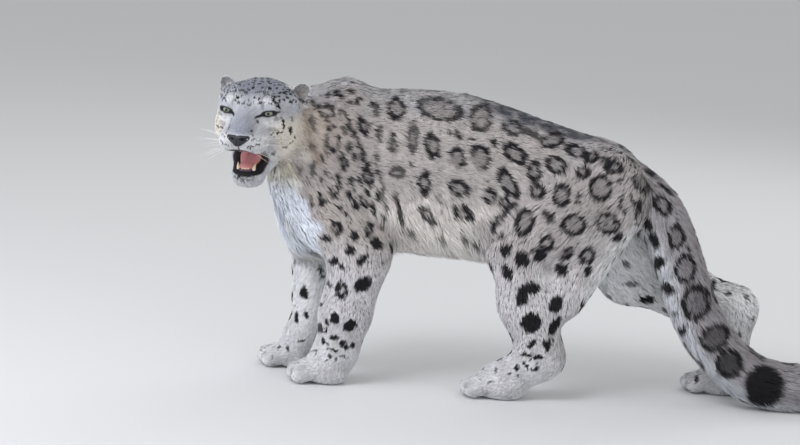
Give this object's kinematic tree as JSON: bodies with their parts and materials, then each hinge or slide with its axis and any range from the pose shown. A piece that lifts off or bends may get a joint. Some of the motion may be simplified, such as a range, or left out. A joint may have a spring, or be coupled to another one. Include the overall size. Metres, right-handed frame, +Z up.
{
  "type": "snow leopard",
  "caption": "Life-size snow leopard standing on all fours, head turned to its left with the mouth open, the long thick tail hanging down and laid along the floor behind.",
  "frame": {"origin": "on the floor, under the middle of the animal's box", "axes": "+X from head to tail, -Y to the animal's left side, +Z up"},
  "size_m": [1.3684, 0.4002, 0.6016],
  "materials": {
    "coat": "thick grey-beige fur with charcoal rosettes and spots",
    "pale_coat": "cream-white fur with small dark spots",
    "nose_leather": "moist dark skin",
    "eye": "glossy pale grey-green eye",
    "tongue": "moist pink flesh"
  },
  "bodies": {
    "root": {"head": "coat", "lower_jaw": "pale_coat", "nose": "nose_leather", "tongue": "tongue", "ear_left": "coat", "ear_right": "coat", "eye_left": "eye", "eye_right": "eye", "neck": "coat", "torso": "coat", "upper_arm_left": "coat", "upper_arm_right": "coat", "forearm_left": "coat", "forearm_right": "coat", "forepaw_left": "pale_coat", "forepaw_right": "pale_coat", "thigh_left": "coat", "thigh_right": "coat", "shank_left": "coat", "shank_right": "coat", "hindfoot_left": "pale_coat", "hindfoot_right": "pale_coat", "tail_1": "coat", "tail_2": "coat", "tail_3": "coat", "tail_4": "coat", "tail_5": "coat", "tail_6": "coat"}
  },
  "joints": []
}
